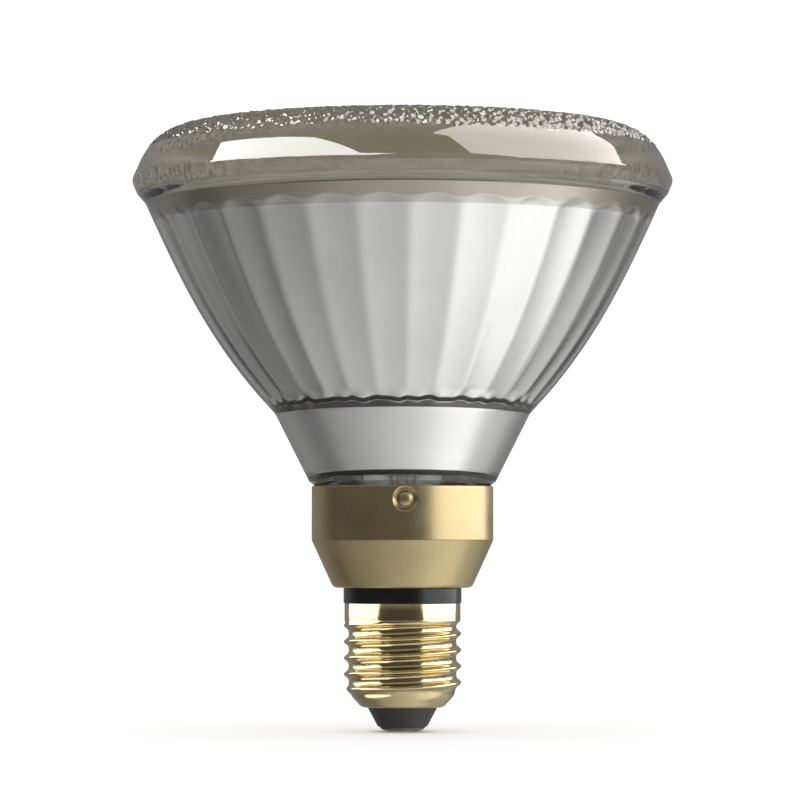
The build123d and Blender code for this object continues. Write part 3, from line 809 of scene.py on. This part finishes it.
# Where one part fades into the next, along the ray's direction
LOW_TO_MIDDLE = (-0.45, -0.2)
MIDDLE_TO_HIGH = (0.2, 0.45)
LOW_TO_BEHIND = (0.0, 0.35)
MIDDLE_TO_SIDE = (0.3, 0.95)
MIDDLE_TO_BEHIND = (0.2, 0.6)
# The backdrop where it is seen directly
PAPER = 1.3
# A colour ramp holds no value over 1, so that the tones are kept in it divided by this
RAMP_SCALE = 2.0


def feed(tree, socket, value):
    """Gives a socket a number, or a link from another socket."""
    if isinstance(value, (int, float)):
        socket.default_value = value
    else:
        tree.links.new(value, socket)


def world_math(tree, operation, first, second):
    """A maths node between two sockets or numbers."""
    node = tree.nodes.new("ShaderNodeMath")
    node.operation = operation
    feed(tree, node.inputs[0], first)
    feed(tree, node.inputs[1], second)
    return node.outputs["Value"]


def world_fade(tree, source, span, low, high):
    """A smooth change from low to high while a socket's value runs over the span."""
    node = tree.nodes.new("ShaderNodeMapRange")
    node.interpolation_type = "SMOOTHSTEP"
    for name, value in (("From Min", span[0]), ("From Max", span[1]), ("To Min", low), ("To Max", high)):
        feed(tree, node.inputs[name], value)
    tree.links.new(source, node.inputs["Value"])
    return node.outputs["Result"]


def make_world():
    """White where it is seen directly, and in or through the lamp a studio brighter low on the right."""
    world = bpy.data.worlds.new("studio")
    bpy.context.scene.world = world
    world.use_nodes = True
    tree = world.node_tree
    tree.nodes.clear()
    coordinates = tree.nodes.new("ShaderNodeTexCoord")
    parts = tree.nodes.new("ShaderNodeSeparateXYZ")
    tree.links.new(coordinates.outputs["Generated"], parts.inputs["Vector"])
    across = tree.nodes.new("ShaderNodeMapRange")
    across.inputs["From Min"].default_value = -1.0
    tree.links.new(parts.outputs["X"], across.inputs["Value"])
    ramp = tree.nodes.new("ShaderNodeValToRGB")
    elements = ramp.color_ramp.elements
    while len(elements) < len(LOW_TONES):
        elements.new(0.5)
    for element, (place, value) in zip(elements, LOW_TONES):
        element.position = (place + 1) / 2
        element.color = (*[value / RAMP_SCALE] * 3, 1)
    tree.links.new(across.outputs["Result"], ramp.inputs["Fac"])
    behind = world_fade(tree, parts.outputs["Y"], LOW_TO_BEHIND, RAMP_SCALE, RAMP_SCALE * BEHIND_LOW)
    low = world_math(tree, "MULTIPLY", ramp.outputs["Color"], behind)
    middle = world_fade(tree, parts.outputs["X"], MIDDLE_TO_SIDE, MIDDLE_TONE, MIDDLE_SIDE)
    middle = world_fade(tree, parts.outputs["Y"], MIDDLE_TO_BEHIND, middle, MIDDLE_BEHIND)
    below = world_fade(tree, parts.outputs["Z"], LOW_TO_MIDDLE, low, middle)
    studio = world_fade(tree, parts.outputs["Z"], MIDDLE_TO_HIGH, below, HIGH_TONE)
    ray = tree.nodes.new("ShaderNodeLightPath")
    bounces = world_math(tree, "ADD", ray.outputs["Glossy Depth"], ray.outputs["Transmission Depth"])
    through = world_math(tree, "GREATER_THAN", bounces, 0.5)
    shade = world_math(tree, "SUBTRACT", PAPER, studio)
    light = world_math(tree, "SUBTRACT", PAPER, world_math(tree, "MULTIPLY", through, shade))
    background = tree.nodes.new("ShaderNodeBackground")
    background.inputs["Color"].default_value = (1, 1, 1, 1)
    tree.links.new(light, background.inputs["Strength"])
    output = tree.nodes.new("ShaderNodeOutputWorld")
    tree.links.new(background.outputs["Background"], output.inputs["Surface"])


make_world()

# The camera: a long lens a little under the lamp's middle, looking slightly up
CAMERA_PLACE = (-0.00056, -0.867, 0.04365)
CAMERA_TILT = 2.01
CAMERA_LENS = 174.3
camera = bpy.data.cameras.new("camera")
camera.sensor_width = 36.0
camera.lens = CAMERA_LENS
camera.clip_start = 0.01
camera.clip_end = 50.0
viewer = bpy.data.objects.new("camera", camera)
bpy.context.scene.collection.objects.link(viewer)
viewer.location = CAMERA_PLACE
viewer.rotation_euler = (math.radians(90 + CAMERA_TILT), 0, 0)
bpy.context.scene.camera = viewer

scene = bpy.context.scene
scene.view_settings.view_transform = "Standard"
scene.cycles.use_denoising = True
scene.cycles.max_bounces = 24
scene.cycles.transmission_bounces = 16
scene.cycles.glossy_bounces = 8
scene.cycles.transparent_max_bounces = 16
scene.cycles.blur_glossy = 0.2
